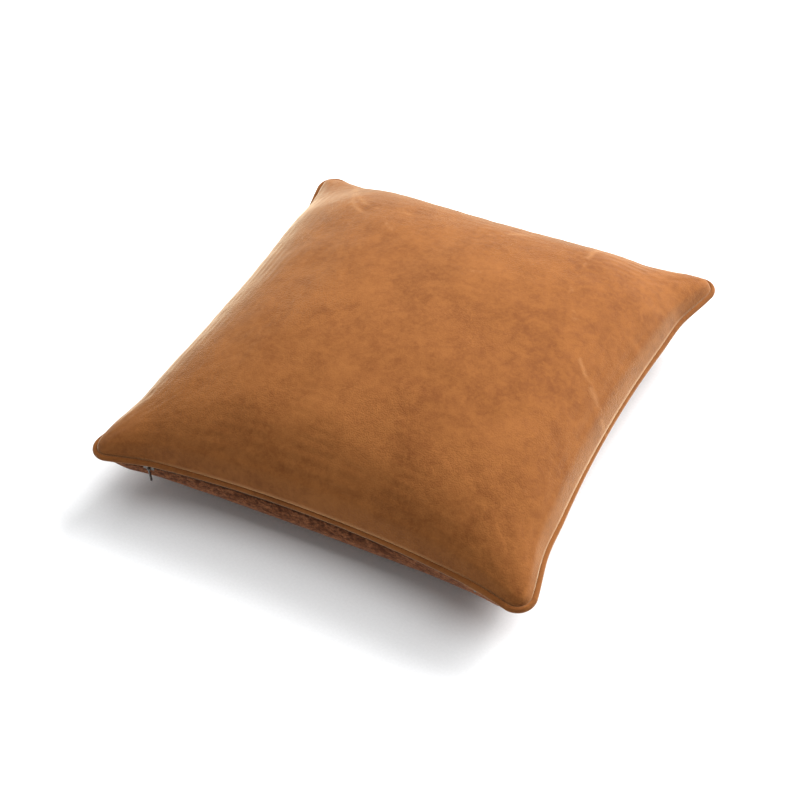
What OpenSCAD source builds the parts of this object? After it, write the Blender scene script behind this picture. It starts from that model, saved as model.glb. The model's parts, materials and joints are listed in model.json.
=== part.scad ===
// Throw pillow lying flat: leather front, velvet back, piped edge, concealed zip and inner pad.
// The origin is the middle of the face that it rests on, and +Z points up.
// The sides are concave arcs of one circle size, so everything sewn along them turns about arc centres.

/* [Cover] */
// Distance between neighbouring corners, before they are rounded
cover_w = 480; // [400:5:560]
// How far each side pulls in at its middle
side_pull = 22; // [14:1:30]
// Radius of the rounded corners, at the seam
corner_r = 14; // [12:1:30]
// Rise of the front panel above the piping
front_crown = 88; // [60:1:110]
// Depth of the back panel below the piping
back_crown = 66; // [50:1:90]
// Share of the back panel's reach that lies flat on the ground
rest_share = 0.5; // [0.3:0.05:0.6]
// Thickness of the front leather
leather_t = 1.2; // [0.8:0.1:1.8]
// Thickness of the velvet with its backing
velvet_t = 1.6; // [1.0:0.1:2.2]
// Width of the cloth turned in at each seam
allowance_w = 10; // [7:0.5:12]

/* [Piping] */
// Diameter of the filler cord
cord_d = 4.5; // [3.5:0.1:6]
// Thickness of the leather strip that wraps the cord
strip_t = 1.0; // [0.6:0.1:1.4]
// Distance of the seam stitches in from the seam
stitch_in = 3; // [2:0.5:5]
// Diameter of the sewing thread
thread_d = 0.6; // [0.4:0.1:1]

/* [Zip] */
// Length of the row of teeth, between its stops
zip_length = 372; // [280:2:390]
// Width of the closed teeth, across the row
teeth_w = 3.2; // [2.6:0.1:4.2]
// Height of the closed teeth, both rows together
teeth_h = 3.0; // [2.4:0.1:4]
// Thickness of each zip tape
tape_t = 0.5; // [0.3:0.1:0.8]
// Length of each stop along the tape
stop_length = 2.4; // [1.6:0.2:4]
// Length of tape past each stop
tape_end = 10; // [6:1:12]
// Length of the slider along the row
slider_length = 9; // [7:0.5:12]
// Wall thickness of the slider
slider_wall = 0.8; // [0.6:0.1:1.2]
// Room between the slider and the teeth
slider_gap = 0.3; // [0.2:0.05:0.5]
// Room between the slider and the cloth on either side of it
cloth_gap = 0.45; // [0.35:0.05:0.8]
// Diameter of the bar that carries the pull tab
bar_d = 1.2; // [1:0.1:1.6]
// Radial room between the bar and the eye of the pull tab
eye_gap = 0.08; // [0.05:0.01:0.1]
// Length of the pull tab from its eye to its end
tab_length = 17; // [12:0.5:24]
// Width of the pull tab
tab_w = 3.2; // [3:0.1:4.4]
// Thickness of the pull tab
tab_t = 1.0; // [0.8:0.1:1.4]

/* [Inner pad] */
// Thickness of the pad's cotton ticking
ticking_t = 0.6; // [0.4:0.1:1]
// Room between the pad and the cover
pad_gap = 1.2; // [0.9:0.1:3]
// Width of the ticking turned in at the pad's seam
pad_turn_in = 8; // [5:1:10]
// Length of the hand-closed gap in the pad's seam
pad_closing = 150; // [100:5:200]

/* [Care label] */
// Width of the folded label
label_w = 30; // [20:1:40]
// Length of the folded label
label_length = 40; // [25:1:55]
// Thickness of the folded label
label_t = 0.4; // [0.2:0.1:0.6]
// Distance of the label from the middle of the zip side
label_x = 110; // [60:5:140]

/* [Hidden] */
$fn = 48;

// Plan of the seam: a side arc's radius and centre distance, then the corner arcs that join them
half_w = cover_w / 2;
side_r = (half_w * half_w + side_pull * side_pull) / (2 * side_pull);
side_c = half_w - side_pull + side_r;
inner_corner_r = 2;
corner_c = corner_centre(0);
side_a = side_angle(0);
side_end = (side_r + allowance_w) * sin(side_a);
corner_mid = corner_c + corner_r * cos(45);

// Heights: the seam plane, the stack of layers at the seam, and the zip below it
welt_r = cord_d / 2 + strip_t;
seam_z = back_crown;
layer_gap = 0.1;
flange_h = strip_t + layer_gap;
zip_h = teeth_h / 2 + slider_gap + slider_wall;
zip_z = seam_z - welt_r - cloth_gap - zip_h;
zip_row_in = -1;
zip_rim_z = zip_z - zip_h - cloth_gap;
seam_rim_z = seam_z - flange_h;
thread_gap = 0.05;
thread_lift = thread_d / 2 + thread_gap;

// Angles that the zip's pieces cover along the zip side, as seen from that side's centre
row_r = side_r + zip_row_in;
row_a = (zip_length / 2) / row_r * 180 / PI;
stop_a = stop_length / row_r * 180 / PI;
tape_a = row_a + (stop_length + tape_end) / row_r * 180 / PI;
slider_a = slider_length / row_r * 180 / PI;
slider_stand = 0.3;
slider_at = 90 + row_a - slider_a / 2 - slider_stand / row_r * 180 / PI;

// Places across the zip side, as distances from that side's centre
slider_out = row_r - teeth_w / 2 - slider_gap - slider_wall;
slider_in = row_r + teeth_w / 2 + slider_gap;
eye_r = bar_d / 2 + eye_gap;
bar_r = slider_out - tab_w / 2 - slider_gap;
lug_t = 0.9;
lug_r = 1.1;
tab_neck = 2.2;

// The label's grid, and the angles down the back panel's curve that it starts at and covers
label_cols = 2;
label_rows = 5;
label_top = 86;
label_turn = label_length / back_crown * 180 / PI;

// Counts of points: along a side, round a corner, from the rim to the middle, and round the piping,
// cord and seam thread
side_n = 12;
corner_n = 6;
shell_n = 9;
welt_n = 10;
cord_n = 8;
thread_n = 6;

// Shape of a puffed panel, from its middle to its rim
puff_p = 2.2;
puff_b = 0.5;
lip_share = 3;
pad_in = allowance_w + 3;

// Corner arcs of the outline moved in by a distance: their radius, centre and the angle where they begin
function corner_radius(inset) = max(corner_r - inset, inner_corner_r);
function corner_reach(inset) = side_r + inset + corner_radius(inset);
function corner_centre(inset) = (side_c - sqrt(2 * pow(corner_reach(inset), 2) - side_c * side_c)) / 2;
function side_angle(inset) = asin(corner_centre(inset) / corner_reach(inset));

// The seam outline, moved in by a distance, as points anticlockwise from the right-hand side
function side_points(turn, inset) = [
    let (end_a = side_angle(inset))
    for (i = [0 : side_n - 1])
    let (a = 180 + end_a - 2 * end_a * i / side_n, r = side_r + inset)
    turned([side_c + r * cos(a), r * sin(a)], turn)];
function corner_points(turn, inset) = [
    let (end_a = side_angle(inset), c = corner_centre(inset))
    for (i = [0 : corner_n - 1])
    let (a = -end_a + (90 + 2 * end_a) * i / corner_n, r = corner_radius(inset))
    turned([c + r * cos(a), c + r * sin(a)], turn)];
function turned(p, a) = [p.x * cos(a) - p.y * sin(a), p.x * sin(a) + p.y * cos(a)];
function outline(inset) = [
    for (q = [0 : 3]) each concat(side_points(90 * q, inset), corner_points(90 * q, inset))];
ring_n = len(outline(0));

// Height of a puffed panel at share s of the way to outline point p: 1 in the middle, 0 at the rim
function puff(s, p) = let (m = max(abs(p.x), abs(p.y)))
    pow(max(0, (1 - pow(s * abs(p.x) / m, puff_p)) * (1 - pow(s * abs(p.y) / m, puff_p))), puff_b);
function steps() = [for (i = [0 : shell_n]) sin(90 * i / shell_n)];

// One ring of a puffed panel: share s of the way out to the outline, above the rim heights
function ring_up(inset, s, rise, z) = [for (p = outline(inset)) [p.x * s, p.y * s, z + rise * puff(s, p)]];

// One ring of the back: flat out to rest_share, then curving up to the rim's own height at each point
function rest_puff(s, p) = s <= rest_share ? 1 : puff((s - rest_share) / (1 - rest_share), p);
function zip_share(p) = p.y < 0 && abs(p.x) < abs(p.y)
    ? 1 - smooth((abs(p.x) - side_end) / (corner_mid - side_end)) : 0;
function smooth(x) = let (t = min(1, max(0, x))) t * t * (3 - 2 * t);
function rim_z(p) = seam_rim_z - (seam_rim_z - zip_rim_z) * zip_share(p);
function ring_down(inset, s, foot, drop) = [
    for (p = outline(inset))
    [p.x * s, p.y * s, (rim_z(p) - drop) + (foot - (rim_z(p) - drop)) * rest_puff(s, p)]];
function ring_flat(inset, z) = [for (p = outline(inset)) [p.x, p.y, z]];
function ring_rim(inset, drop) = [for (p = outline(inset)) [p.x, p.y, rim_z(p) - drop]];

// A closed solid whose skin runs from a first point through rings to a last point
module ringed(first, rings, last, up) {
    pts = concat([first], [for (r = rings) each r], [last]);
    end = len(pts) - 1;
    n = len(rings);
    fan_a = [for (k = [0 : ring_n - 1]) [0, 1 + k, 1 + (k + 1) % ring_n]];
    fan_b = [for (k = [0 : ring_n - 1])
        [end, end - ring_n + (k + 1) % ring_n, end - ring_n + k]];
    walls = [for (j = [0 : n - 2], k = [0 : ring_n - 1])
        let (a = 1 + j * ring_n + k, b = 1 + j * ring_n + (k + 1) % ring_n)
        each [[a, a + ring_n, b], [b, a + ring_n, b + ring_n]]];
    faces = concat(fan_a, walls, fan_b);
    polyhedron(pts, up ? [for (f = faces) [f[2], f[1], f[0]]] : faces);
}

// A 2D section carried round the arc of the zip side, between two angles
module along_zip_side(from, to) {
    translate([0, -side_c, 0]) rotate([0, 0, from]) rotate_extrude(angle = to - from, $fn = 360)
        children();
}

// A puffed shell, t thick, from its rim at height low to its crown at height high. Its wall stands
// straight for a short lip, and its edge turns in by a width at the foot of the lip.
module upper_shell(inset, t, turn_in, low, high) {
    lip = lip_share * t;
    rise = high - low - lip;
    ringed([0, 0, high],
        concat([for (i = [1 : shell_n]) ring_up(inset, steps()[i], rise, low + lip)],
               [ring_flat(inset, low), ring_flat(inset + turn_in, low),
                ring_flat(inset + turn_in, low + t), ring_flat(inset + t, low + t)],
               [for (i = [shell_n : -1 : 1]) ring_up(inset + t, steps()[i], rise, low + lip - t)]),
        [0, 0, high - t], true);
}

// Leather front, whose edge turns in over the piping's flange
module front_panel() {
    color([0.66, 0.41, 0.22]) upper_shell(0, leather_t, allowance_w, seam_z + flange_h, seam_z + front_crown);
}

// Velvet back: it lies flat in the middle, and drops clear of the slider along the zip
module back_panel() {
    lip = lip_share * velvet_t;
    color([0.5, 0.28, 0.18]) ringed([0, 0, 0],
        concat([for (s = back_steps()) ring_down(0, s, 0, lip)],
               [ring_rim(0, 0), ring_rim(allowance_w, 0),
                ring_rim(allowance_w, velvet_t), ring_rim(velvet_t, velvet_t)],
               [for (i = [shell_n : -1 : 0]) ring_down(velvet_t, back_steps()[i], velvet_t, lip - velvet_t)]),
        [0, 0, velvet_t], false);
}
function back_steps() = [for (s = steps()) rest_share + (1 - rest_share) * s];

// A section, as points [distance out from the seam, height] anticlockwise, carried round the outline
// from its first point: all the way in one loop, or to an end at a later point
module looped(section, last = ring_n) {
    n = len(section);
    open = last < ring_n;
    m = open ? last + 1 : ring_n;
    pts = [for (q = section) let (ring = outline(-q.x)) for (k = [0 : m - 1]) [ring[k].x, ring[k].y, q.y]];
    function id(j, k) = (j % n) * m + k % m;
    walls = [for (j = [0 : n - 1], k = [0 : last - 1])
        let (a = id(j, k), b = id(j + 1, k), c = id(j + 1, k + 1), d = id(j, k + 1))
        each [[a, b, c], [a, c, d]]];
    ends = [for (j = [1 : n - 2])
        each [[id(j + 1, 0), id(j, 0), id(0, 0)], [id(0, last), id(j, last), id(j + 1, last)]]];
    polyhedron(pts, open ? concat(walls, ends) : walls);
}

// Points round the piping's centre line at radius r, open at the seam by an angle on each side
function round_cord(r, open_a, count) = [for (i = [0 : count])
    let (a = open_a - 180 + (360 - 2 * open_a) * i / count) [welt_r + r * cos(a), seam_z + r * sin(a)]];
cord_ring = round_cord(cord_d / 2, asin(layer_gap / cord_d), cord_n);

// Piping: a leather strip folded round the cord, with both its edges turned in to the seam
module welt_cover() {
    outer = round_cord(welt_r, asin(flange_h / welt_r), welt_n);
    slit = layer_gap / 2;
    color([0.72, 0.44, 0.23]) looped(concat(
        [[-allowance_w, seam_z - flange_h]], outer,
        [[-allowance_w, seam_z + flange_h], [-allowance_w, seam_z + slit]],
        [for (i = [cord_n : -1 : 0]) cord_ring[i]], [[-allowance_w, seam_z - slit]]));
}

module welt_cord() {
    color([0.92, 0.89, 0.8]) looped(cord_ring);
}

// The seams' thread at height z, as a section for looped
function thread_section(z) = [for (i = [0 : thread_n - 1])
    let (a = 360 * i / thread_n) [thread_d / 2 * cos(a) - stitch_in, thread_d / 2 * sin(a) + z]];

// Sewing thread that joins the front panel to the piping, all the way round
module front_seam_thread() {
    color([0.55, 0.33, 0.18]) looped(thread_section(seam_z + flange_h + leather_t + thread_lift));
}

// Thread that joins the back panel on the three sides with no zip, and stops short of the zip
module back_seam_thread() {
    color([0.42, 0.24, 0.15])
        looped(thread_section(seam_rim_z - velvet_t - thread_lift), 3 * side_n + 2 * corner_n);
}

// A strip of tape, as a section that runs through points [distance, height] and is tape_t thick
module tape_section(path) {
    last = len(path) - 1;
    function along(i) = let (d = path[min(i + 1, last)] - path[max(i - 1, 0)]) d / norm(d);
    function beside(i, side) = path[i] + side * tape_t / 2 * [-along(i).y, along(i).x];
    polygon(concat([for (i = [0 : last]) beside(i, 1)], [for (i = [last : -1 : 0]) beside(i, -1)]));
}

// From the teeth, past the slider, and up or down to the cloth that it is sewn to
module zip_tape(way, cloth_z) {
    near_z = zip_z + way * (tape_t / 2 + thread_gap);
    far_z = cloth_z - way * tape_t / 2;
    turn_r = slider_in + slider_wall + slider_gap + tape_t;
    color([0.2, 0.13, 0.1]) along_zip_side(90 - tape_a, 90 + tape_a)
        tape_section([[row_r + teeth_w / 2, near_z], [turn_r, near_z], [turn_r + tape_t, near_z + way],
                      [turn_r + tape_t, far_z - way], [turn_r + 2 * tape_t, far_z],
                      [side_r + allowance_w, far_z]]);
}
module zip_tape_upper() zip_tape(1, seam_rim_z);
module zip_tape_lower() zip_tape(-1, zip_rim_z);

// One closed row of teeth, above or below the middle of the zip
module zip_teeth(way) {
    color([0.16, 0.13, 0.12]) along_zip_side(90 - row_a, 90 + row_a)
        translate([row_r - teeth_w / 2, zip_z + (way > 0 ? 0 : -teeth_h / 2)])
            square([teeth_w, teeth_h / 2]);
}
module zip_teeth_upper() zip_teeth(1);
module zip_teeth_lower() zip_teeth(-1);

// A stop stands proud of the teeth, so that the slider can't pass it
module zip_stop(from, to, low, high) {
    color([0.35, 0.34, 0.33]) along_zip_side(from, to)
        translate([row_r - teeth_w / 2 - slider_wall, zip_z + low])
            square([teeth_w + slider_wall, high - low]);
}
module zip_top_stop_upper() zip_stop(90 + row_a, 90 + row_a + stop_a, 0, teeth_h / 2 + slider_wall);
module zip_top_stop_lower() zip_stop(90 + row_a, 90 + row_a + stop_a, -teeth_h / 2 - slider_wall, 0);
module zip_bottom_stop()
    zip_stop(90 - row_a - stop_a, 90 - row_a, -teeth_h / 2 - slider_wall, teeth_h / 2 + slider_wall);

// Thread that holds each tape to its cloth
module zip_stitch(z) {
    color([0.3, 0.2, 0.14]) along_zip_side(90 - tape_a, 90 + tape_a)
        translate([side_r + allowance_w - stitch_in, z]) circle(d = thread_d, $fn = 24);
}
module zip_stitch_upper() zip_stitch(seam_rim_z - tape_t - thread_lift);
module zip_stitch_lower() zip_stitch(zip_rim_z + tape_t + thread_lift);

// Slider: a channel round the teeth with a slot for the tapes, and two lugs that carry the bar
module zip_slider() {
    color([0.3, 0.29, 0.28]) union() {
        along_zip_side(slider_at - slider_a / 2, slider_at + slider_a / 2) difference() {
            translate([slider_out, zip_z - zip_h])
                square([slider_in + slider_wall - slider_out, 2 * zip_h]);
            translate([slider_out + slider_wall, zip_z - zip_h + slider_wall])
                square([slider_in - slider_out - slider_wall, 2 * (zip_h - slider_wall)]);
            translate([slider_in - slider_gap, zip_z - tape_t - slider_gap])
                square([slider_wall + 2 * slider_gap, 2 * (tape_t + slider_gap)]);
        }
        at_bar() {
            rotate([90, 0, 0]) cylinder(d = bar_d, h = tab_t + 2 * (slider_gap + lug_t), center = true);
            for (side = [-1, 1])
                translate([0, side * (tab_t / 2 + slider_gap + lug_t / 2), 0]) {
                    rotate([90, 0, 0]) cylinder(r = lug_r, h = lug_t, center = true);
                    translate([0, -lug_t / 2, -lug_r])
                        cube([slider_out + slider_wall / 2 - bar_r, lug_t, 2 * lug_r]);
                }
        }
    }
}
module at_bar() {
    translate([0, -side_c, 0]) rotate([0, 0, slider_at]) translate([bar_r, 0, zip_z]) children();
}

// Flat pull tab: it hangs edge-on from the bar, and swings in its own plane
module pull_tab() {
    color([0.27, 0.26, 0.25]) at_bar() difference() {
        union() {
            rotate([90, 0, 0]) cylinder(d = tab_w, h = tab_t, center = true);
            translate([-tab_neck / 2, -tab_t / 2, -tab_length / 2])
                cube([tab_neck, tab_t, tab_length / 2]);
            translate([-tab_w / 2, -tab_t / 2, -tab_length + tab_w / 2])
                cube([tab_w, tab_t, tab_length * 0.6]);
            translate([0, 0, -tab_length + tab_w / 2])
                rotate([90, 0, 0]) cylinder(d = tab_w, h = tab_t, center = true);
        }
        rotate([90, 0, 0]) cylinder(r = eye_r, h = 2 * tab_t, center = true);
    }
}

// Cotton ticking of the pad: two puffed shells whose edges turn in where they meet
module pad_ticking_upper() {
    color([0.93, 0.91, 0.86])
        upper_shell(pad_in, ticking_t, pad_turn_in, seam_z, seam_z + front_crown - leather_t - pad_gap);
}

module pad_ticking_lower() {
    t = ticking_t;
    lip = lip_share * t;
    foot = velvet_t + pad_gap;
    color([0.93, 0.91, 0.86]) ringed([0, 0, foot],
        concat([for (s = back_steps()) ring_pad(pad_in, s, foot, seam_z - lip)],
               [ring_flat(pad_in, seam_z), ring_flat(pad_in + pad_turn_in, seam_z),
                ring_flat(pad_in + pad_turn_in, seam_z - t), ring_flat(pad_in + t, seam_z - t)],
               [for (i = [shell_n : -1 : 0]) ring_pad(pad_in + t, back_steps()[i], foot + t, seam_z - lip + t)]),
        [0, 0, foot + t], false);
}
function ring_pad(inset, s, foot, rim) = [
    for (p = outline(inset)) [p.x * s, p.y * s, rim + (foot - rim) * rest_puff(s, p)]];

// Feather and fibre filling, clear of the ticking's turned edges
module pad_filling() {
    inset = pad_in + pad_turn_in + ticking_t;
    top = seam_z + front_crown - leather_t - pad_gap - 2 * ticking_t;
    foot = velvet_t + pad_gap + 2 * ticking_t;
    color([0.97, 0.96, 0.93]) ringed([0, 0, top],
        concat([for (i = [1 : shell_n]) ring_up(inset, steps()[i], top - seam_z, seam_z)],
               [for (i = [shell_n - 1 : -1 : 0]) ring_pad(inset, back_steps()[i], foot, seam_z)]),
        [0, 0, foot], true);
}

// Row of closing stitches along the pad's edge, on the side away from the zip
module pad_closing_stitch() {
    r = side_r + pad_in - thread_d;
    a = pad_closing / r * 90 / PI;
    color([0.85, 0.8, 0.7]) translate([0, side_c, seam_z]) rotate([0, 0, 270 - a])
        rotate_extrude(angle = 2 * a, $fn = 360) translate([r, 0]) circle(d = thread_d, $fn = 24);
}

// Blank folded label that hangs inside the back panel, from the seam beside the zip
module care_label() {
    function label_point(k, i, j) = let (
        side = k - 0.5,
        r = side_r + (velvet_t + pad_in) / 2 + side * label_t,
        a = 90 - (label_x + label_w * (i / label_cols - 0.5)) / side_r * 180 / PI,
        p = [r * cos(a), r * sin(a) - side_c],
        s = rest_share + (1 - rest_share) * sin(label_top - label_turn * j / label_rows),
        foot = velvet_t + pad_gap / 2 + side * label_t,
        rim = zip_rim_z - velvet_t)
        [p.x * s, p.y * s, rim + (foot - rim) * rest_puff(s, p)];
    function id(k, i, j) = (k * (label_cols + 1) + i) * (label_rows + 1) + j;
    pts = [for (k = [0, 1], i = [0 : label_cols], j = [0 : label_rows]) label_point(k, i, j)];
    quads = concat(
        [for (i = [0 : label_cols - 1], j = [0 : label_rows - 1], k = [0, 1])
            flipped([id(k, i, j), id(k, i + 1, j), id(k, i + 1, j + 1), id(k, i, j + 1)], k == 1)],
        [for (j = [0 : label_rows - 1], e = [0, 1]) let (i = e * label_cols)
            flipped([id(0, i, j), id(0, i, j + 1), id(1, i, j + 1), id(1, i, j)], e == 1)],
        [for (i = [0 : label_cols - 1], e = [0, 1]) let (j = e * label_rows)
            flipped([id(0, i, j), id(1, i, j), id(1, i + 1, j), id(0, i + 1, j)], e == 1)]);
    color([0.95, 0.94, 0.9])
        polyhedron(pts, [for (q = quads) each [[q[0], q[1], q[2]], [q[0], q[2], q[3]]]]);
}
function flipped(q, flip) = flip ? [q[3], q[2], q[1], q[0]] : q;

front_panel();
back_panel();
welt_cover();
welt_cord();
front_seam_thread();
back_seam_thread();
zip_tape_upper();
zip_tape_lower();
zip_teeth_upper();
zip_teeth_lower();
zip_stitch_upper();
zip_stitch_lower();
zip_top_stop_upper();
zip_top_stop_lower();
zip_bottom_stop();
zip_slider();
pull_tab();
pad_ticking_upper();
pad_ticking_lower();
pad_filling();
pad_closing_stitch();
care_label();
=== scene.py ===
import json
import math
import bpy
import numpy as np
from mathutils import Matrix, Vector, noise
from mathutils.bvhtree import BVHTree


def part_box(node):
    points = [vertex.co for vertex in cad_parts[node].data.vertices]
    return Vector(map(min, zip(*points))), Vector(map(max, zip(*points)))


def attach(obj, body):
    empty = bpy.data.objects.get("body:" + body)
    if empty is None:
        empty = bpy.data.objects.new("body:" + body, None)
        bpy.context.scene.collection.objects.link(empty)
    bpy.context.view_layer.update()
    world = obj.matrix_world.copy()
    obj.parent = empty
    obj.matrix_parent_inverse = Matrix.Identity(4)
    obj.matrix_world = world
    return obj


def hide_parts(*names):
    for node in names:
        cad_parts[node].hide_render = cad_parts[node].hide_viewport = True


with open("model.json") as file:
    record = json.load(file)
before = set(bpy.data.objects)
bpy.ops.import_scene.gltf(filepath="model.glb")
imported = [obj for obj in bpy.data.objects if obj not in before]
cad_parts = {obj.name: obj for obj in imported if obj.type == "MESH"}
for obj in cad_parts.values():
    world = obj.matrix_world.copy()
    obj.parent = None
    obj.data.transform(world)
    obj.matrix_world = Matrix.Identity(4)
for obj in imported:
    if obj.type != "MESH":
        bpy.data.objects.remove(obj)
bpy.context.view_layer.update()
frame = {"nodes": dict(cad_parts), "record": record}        # bodies cover, slider and pull
bpy.ops.object.select_all(action="DESELECT")
print("frame loaded:", len(frame["nodes"]), "CAD nodes")


# ---- sizes shared by all the sewn pieces ----
pillow = {
    "width": 0.480,           # between neighbouring corners, before they are rounded
    "flatWidth": 0.500,       # between the seams of the empty cover, laid flat
    "sidePull": 0.022,        # how far each side curves in at its middle
    "cornerRadius": 0.014,
    "leastRadius": 0.002,     # corner radius of outlines that lie far inside
    "crown": 0.088,           # rise of the leather above the piping
    "allowance": 0.010,       # cloth turned in at each seam
    "leather": 0.0012,
    "velvet": 0.0016,
}
weltLow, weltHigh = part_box("welt_cover")
weltRadius = (weltHigh.z - weltLow.z) / 2
seamHeight = (weltHigh.z + weltLow.z) / 2
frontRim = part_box("front_panel")[0].z
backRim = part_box("back_panel")[1].z
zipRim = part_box("zip_tape_lower")[0].z
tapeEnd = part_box("zip_tape_lower")[1].x


def smooth(x):
    x = np.clip(x, 0.0, 1.0)
    return x * x * (3 - 2 * x)


def outlineAt(inset):
    # side arc and its centre, corner arc and its centre, and the angle where they meet
    half = pillow["width"] / 2
    pull = pillow["sidePull"]
    sideRadius = (half * half + pull * pull) / (2 * pull)
    sideCentre = half - pull + sideRadius
    corner = max(pillow["cornerRadius"] - inset, pillow["leastRadius"])
    reach = sideRadius + inset + corner
    cornerCentre = (sideCentre - math.sqrt(2 * reach * reach - sideCentre ** 2)) / 2
    return sideRadius + inset, sideCentre, corner, cornerCentre, math.asin(cornerCentre / reach)


def sidePoints(t, inset=0.0):
    # along the +X side, from the middle of one corner at -1 to the middle of the next at 1
    radius, centre, corner, cornerCentre, meet = outlineAt(inset)
    t = np.asarray(t, float)
    straight = radius * meet
    along = np.abs(t) * (straight + corner * (math.pi / 4 + meet))
    turn = along / radius
    bend = (along - straight) / corner - meet
    onSide = along <= straight
    x = np.where(onSide, centre - radius * np.cos(turn), cornerCentre + corner * np.cos(bend))
    y = np.where(onSide, radius * np.sin(turn), cornerCentre + corner * np.sin(bend))
    return np.stack([x, np.copysign(y, t)], -1)


def planPoints(u, v, inset=0.0):
    # a square patch, u and v from -1 to 1, stretched to fill the outline
    right = sidePoints(v, inset)
    far = sidePoints(u, inset)[..., ::-1]
    corner = float(sidePoints([1.0], inset)[0, 0])
    a = ((1 + u) / 2)[..., None]
    b = ((1 + v) / 2)[..., None]
    edges = a * right + (1 - a) * right * [-1, 1] + b * far + (1 - b) * far * [1, -1]
    bilinear = corner * np.stack([u, v], -1)
    return edges - bilinear


def puff(u, v, squareness, fullness):
    return (np.clip(1 - abs(u) ** squareness, 0, 1) * np.clip(1 - abs(v) ** squareness, 0, 1)) ** fullness


def gridUV(cells):
    line = np.linspace(-1, 1, cells + 1)
    return np.meshgrid(line, line)


def readPoints(mesh):
    co = np.zeros(len(mesh.vertices) * 3)
    mesh.vertices.foreach_get("co", co)
    return co.reshape(-1, 3)


def writePoints(mesh, co):
    mesh.vertices.foreach_set("co", np.asarray(co, np.float32).ravel())
    mesh.update()


def onlyActive(piece):
    bpy.ops.object.select_all(action="DESELECT")
    piece.select_set(True)
    bpy.context.view_layer.objects.active = piece


def applyAll(piece):
    onlyActive(piece)
    for modifier in list(piece.modifiers):
        bpy.ops.object.modifier_apply(modifier=modifier.name)


def subdivide(piece, levels):
    rounding = piece.modifiers.new("rounding", "SUBSURF")
    rounding.levels = rounding.render_levels = levels


def editAll(piece):
    onlyActive(piece)
    bpy.ops.object.mode_set(mode="EDIT")
    bpy.ops.mesh.select_all(action="SELECT")


def mergeDoubles(piece, faceOut=False):
    editAll(piece)
    bpy.ops.mesh.remove_doubles(threshold=1e-5)
    if faceOut:
        bpy.ops.mesh.normals_make_consistent(inside=False)
    bpy.ops.object.mode_set(mode="OBJECT")


def linkedMesh(name, points, edges, faces):
    mesh = bpy.data.meshes.new(name)
    mesh.from_pydata(points, edges, faces)
    piece = bpy.data.objects.new(name, mesh)
    bpy.context.scene.collection.objects.link(piece)
    return piece


def softNoise(points, scale, seed):
    shift = Vector((seed * 7.3, seed * 3.1, seed * 5.7))
    return np.array([noise.noise(Vector(p) * scale + shift) for p in points])


# ---- camera ----
camera = {
    "azimuth": 31.8,
    "elevation": 45.6,
    "roll": -5.5,
    "distance": 1.660,
    "lens": 72.2,
    "target": (0.0105, -0.0500),
}


def makeCamera():
    bpy.ops.object.camera_add()
    cam = bpy.context.object
    cam.name = "viewCamera"
    cam.data.lens = camera["lens"]
    az, el, roll = (math.radians(camera[k]) for k in ("azimuth", "elevation", "roll"))
    back = Vector((math.sin(az) * math.cos(el), -math.cos(az) * math.cos(el), math.sin(el)))
    right = Vector((math.cos(az), math.sin(az), 0))
    up = back.cross(right)
    x = right * math.cos(roll) + up * math.sin(roll)
    y = up * math.cos(roll) - right * math.sin(roll)
    place = Vector((*camera["target"], seamHeight)) + back * camera["distance"]
    turn = Matrix((x, y, back)).transposed()
    cam.matrix_world = Matrix.Translation(place) @ turn.to_4x4()
    bpy.context.scene.camera = cam


makeCamera()
print("camera placed")


# ---- node helpers ----
black, white = (0, 0, 0, 1), (1, 1, 1, 1)
perRow = 8


def newNode(tree, kind):
    row, column = divmod(len(tree.nodes), perRow)
    new = tree.nodes.new(kind)
    new.location = (220 * column, -320 * row)
    return new


def setInput(tree, socket, value):
    # a socket is linked; a color may be given without its alpha
    if isinstance(value, bpy.types.NodeSocket):
        tree.links.new(value, socket)
    elif socket.type == "RGBA" and len(value) == 3:
        socket.default_value = (*value, 1)
    else:
        socket.default_value = value


def setInputs(tree, new, values):
    for label, value in values.items():
        setInput(tree, new.inputs[label], value)


def node(tree, kind, **values):
    new = newNode(tree, kind)
    for key, value in values.items():
        if key in new.inputs:
            setInput(tree, new.inputs[key], value)
        else:
            setattr(new, key, value)
    return new


def newGroup(name, inputs, outputs):
    tree = bpy.data.node_groups.new(name, "ShaderNodeTree")
    for label, kind, value in inputs:
        socket = tree.interface.new_socket(name=label, in_out="INPUT", socket_type=kind)
        if value is not None:
            socket.default_value = value
    for label in outputs:
        tree.interface.new_socket(name=label, in_out="OUTPUT", socket_type="NodeSocketFloat")
    return tree, newNode(tree, "NodeGroupInput").outputs, newNode(tree, "NodeGroupOutput")


def useGroup(tree, group, values):
    new = newNode(tree, "ShaderNodeGroup")
    new.node_tree = group
    setInputs(tree, new, values)
    return new.outputs


def math2(tree, operation, a, b=0.0):
    new = newNode(tree, "ShaderNodeMath")
    new.operation = operation
    setInput(tree, new.inputs[0], a)
    setInput(tree, new.inputs[1], b)
    return new.outputs[0]


def times(tree, a, b):
    return math2(tree, "MULTIPLY", a, b)


def plus(tree, a, b):
    return math2(tree, "ADD", a, b)


def ramp(tree, value, low, high, lowColor=black, highColor=white):
    new = newNode(tree, "ShaderNodeValToRGB")
    new.color_ramp.interpolation = "EASE"
    for stop, place, color in zip(new.color_ramp.elements, (low, high), (lowColor, highColor)):
        stop.position = place
        stop.color = color
    setInput(tree, new.inputs[0], value)
    return new.outputs[0]


def mixColor(tree, share, a, b):
    new = newNode(tree, "ShaderNodeMix")
    new.data_type = "RGBA"
    for socket, value in ((new.inputs[0], share), (new.inputs[6], a), (new.inputs[7], b)):
        setInput(tree, socket, value)
    return new.outputs[2]


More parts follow.
